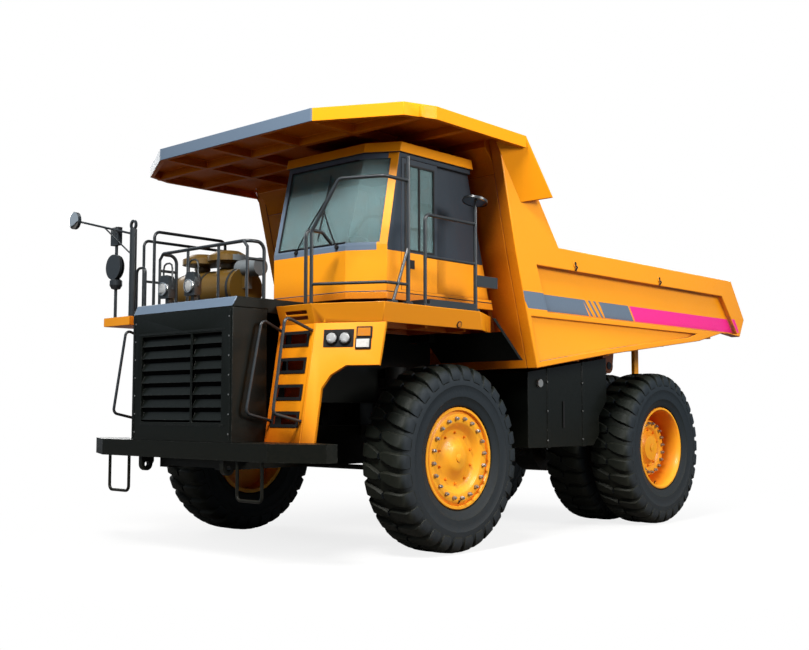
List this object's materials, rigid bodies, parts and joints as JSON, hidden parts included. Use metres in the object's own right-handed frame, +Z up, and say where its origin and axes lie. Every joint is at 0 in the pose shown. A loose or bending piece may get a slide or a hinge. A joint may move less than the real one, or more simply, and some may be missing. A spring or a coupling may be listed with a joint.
{
  "type": "rigid mining dump truck",
  "caption": "Two-axle rigid mining dump truck with twin rear wheels, offset cab under a canopy, raked ladders, railings and a tipping rock body.",
  "frame": {"origin": "on the ground under the middle of the truck's overall length and width", "axes": "+X to the truck's left, +Y to its rear, +Z up; the truck faces -Y"},
  "size_m": [4.96, 9.61, 4.95],
  "materials": {
    "body_yellow": "gloss machinery yellow",
    "frame_dark": "dark green-black chassis paint",
    "rail_grey": "dark grey tube paint",
    "tyre_rubber": "black tyre rubber",
    "rim_orange": "gloss orange-yellow rim paint",
    "cab_glass": "tinted safety glass",
    "cab_trim": "black moulded trim",
    "seat_cloth": "dark woven seat cover",
    "engine_iron": "painted cast iron",
    "axle_iron": "cast axle parts",
    "hoist_chrome": "polished rod",
    "cleaner_tan": "tan air-cleaner paint",
    "lamp_glass": "clear lamp lens"
  },
  "bodies": {
    "chassis": {"frame_rails": "frame_dark", "front_struts": "axle_iron", "rear_axle": "axle_iron", "engine_block": "engine_iron", "driveline": "engine_iron", "front_bumper": "frame_dark", "radiator": "frame_dark", "hood": "frame_dark", "fender_left": "body_yellow", "fender_right": "body_yellow", "deck_left": "body_yellow", "deck_right": "body_yellow", "mudguard_left": "frame_dark", "mudguard_right": "frame_dark", "cab_floor": "body_yellow", "cab_body": "body_yellow", "cab_roof": "body_yellow", "windshield": "cab_glass", "cab_glass_right": "cab_glass", "cab_glass_rear": "cab_glass", "seat": "seat_cloth", "dashboard": "cab_trim", "handrails_left": "rail_grey", "handrails_right": "rail_grey", "hood_guard": "rail_grey", "air_cleaners": "cleaner_tan", "mirrors": "rail_grey", "lamps": "lamp_glass", "fuel_tank": "frame_dark", "hydraulic_tank": "frame_dark"},
    "cab_door": {"cab_door": "body_yellow", "cab_door_glass": "cab_glass"},
    "knuckle_left": {"knuckle_left": "axle_iron"},
    "knuckle_right": {"knuckle_right": "axle_iron"},
    "tie_rod": {"tie_rod": "axle_iron"},
    "wheel_front_left": {"tyre_front_left": "tyre_rubber", "rim_front_left": "rim_orange"},
    "wheel_front_right": {"tyre_front_right": "tyre_rubber", "rim_front_right": "rim_orange"},
    "wheels_rear_left": {"tyres_rear_left": "tyre_rubber", "rims_rear_left": "rim_orange"},
    "wheels_rear_right": {"tyres_rear_right": "tyre_rubber", "rims_rear_right": "rim_orange"},
    "dump_body": {"body_floor": "body_yellow", "body_side_left": "body_yellow", "body_side_right": "body_yellow", "body_front_wall": "body_yellow", "canopy": "body_yellow", "rock_ejectors": "axle_iron"},
    "hoist_barrel_left": {"hoist_barrel_left": "frame_dark"},
    "hoist_barrel_right": {"hoist_barrel_right": "frame_dark"},
    "hoist_rod_left": {"hoist_rod_left": "hoist_chrome"},
    "hoist_rod_right": {"hoist_rod_right": "hoist_chrome"}
  },
  "joints": [
    {"name": "steer_left", "type": "hinge", "parent": "chassis", "child": "knuckle_left", "pos_m": [1.1, -2.415, 1.085], "axis": [0, 0, 1], "range_deg": [-32, 32]},
    {"name": "steer_right", "type": "hinge", "parent": "chassis", "child": "knuckle_right", "pos_m": [-1.1, -2.415, 1.085], "axis": [0, 0, 1], "range_deg": [-32, 32]},
    {"name": "tie_rod_swing", "type": "hinge", "parent": "knuckle_left", "child": "tie_rod", "pos_m": [1.1, -1.965, 0.93], "axis": [0, 0, 1], "range_deg": [-32, 32]},
    {"name": "spin_front_left", "type": "hinge", "parent": "knuckle_left", "child": "wheel_front_left", "pos_m": [1.836, -2.415, 1.085], "axis": [1, 0, 0], "continuous": true},
    {"name": "spin_front_right", "type": "hinge", "parent": "knuckle_right", "child": "wheel_front_right", "pos_m": [-1.836, -2.415, 1.085], "axis": [1, 0, 0], "continuous": true},
    {"name": "spin_rear_left", "type": "hinge", "parent": "chassis", "child": "wheels_rear_left", "pos_m": [1.934, 2.085, 1.085], "axis": [1, 0, 0], "continuous": true},
    {"name": "spin_rear_right", "type": "hinge", "parent": "chassis", "child": "wheels_rear_right", "pos_m": [-1.934, 2.085, 1.085], "axis": [1, 0, 0], "continuous": true},
    {"name": "dump", "type": "hinge", "parent": "chassis", "child": "dump_body", "pos_m": [0, 3.135, 2.35], "axis": [-1, 0, 0], "range_deg": [0, 45]},
    {"name": "cab_door_slide", "type": "slide", "parent": "chassis", "child": "cab_door", "axis": [0, 1, 0], "range_m": [0, 0.56]},
    {"name": "hoist_tilt_left", "type": "hinge", "parent": "chassis", "child": "hoist_barrel_left", "pos_m": [0.8, -0.265, 1.15], "axis": [1, 0, 0], "range_deg": [0, 11.06]},
    {"name": "hoist_stroke_left", "type": "slide", "parent": "hoist_barrel_left", "child": "hoist_rod_left", "axis": [0, 0.7574, 0.6529], "range_m": [0, 1.4122]},
    {"name": "hoist_tilt_right", "type": "hinge", "parent": "chassis", "child": "hoist_barrel_right", "pos_m": [-0.8, -0.265, 1.15], "axis": [1, 0, 0], "range_deg": [0, 11.06]},
    {"name": "hoist_stroke_right", "type": "slide", "parent": "hoist_barrel_right", "child": "hoist_rod_right", "axis": [0, 0.7574, 0.6529], "range_m": [0, 1.4122]}
  ],
  "couplings": [
    {"joint": "steer_right", "follows": "steer_left", "ratio": 1},
    {"joint": "tie_rod_swing", "follows": "steer_left", "ratio": -1},
    {"joint": "hoist_tilt_left", "follows": "dump", "ratio": 0.24546},
    {"joint": "hoist_stroke_left", "follows": "dump", "m_per_rad": 1.7975},
    {"joint": "hoist_tilt_right", "follows": "dump", "ratio": 0.24546},
    {"joint": "hoist_stroke_right", "follows": "dump", "m_per_rad": 1.7975}
  ]
}
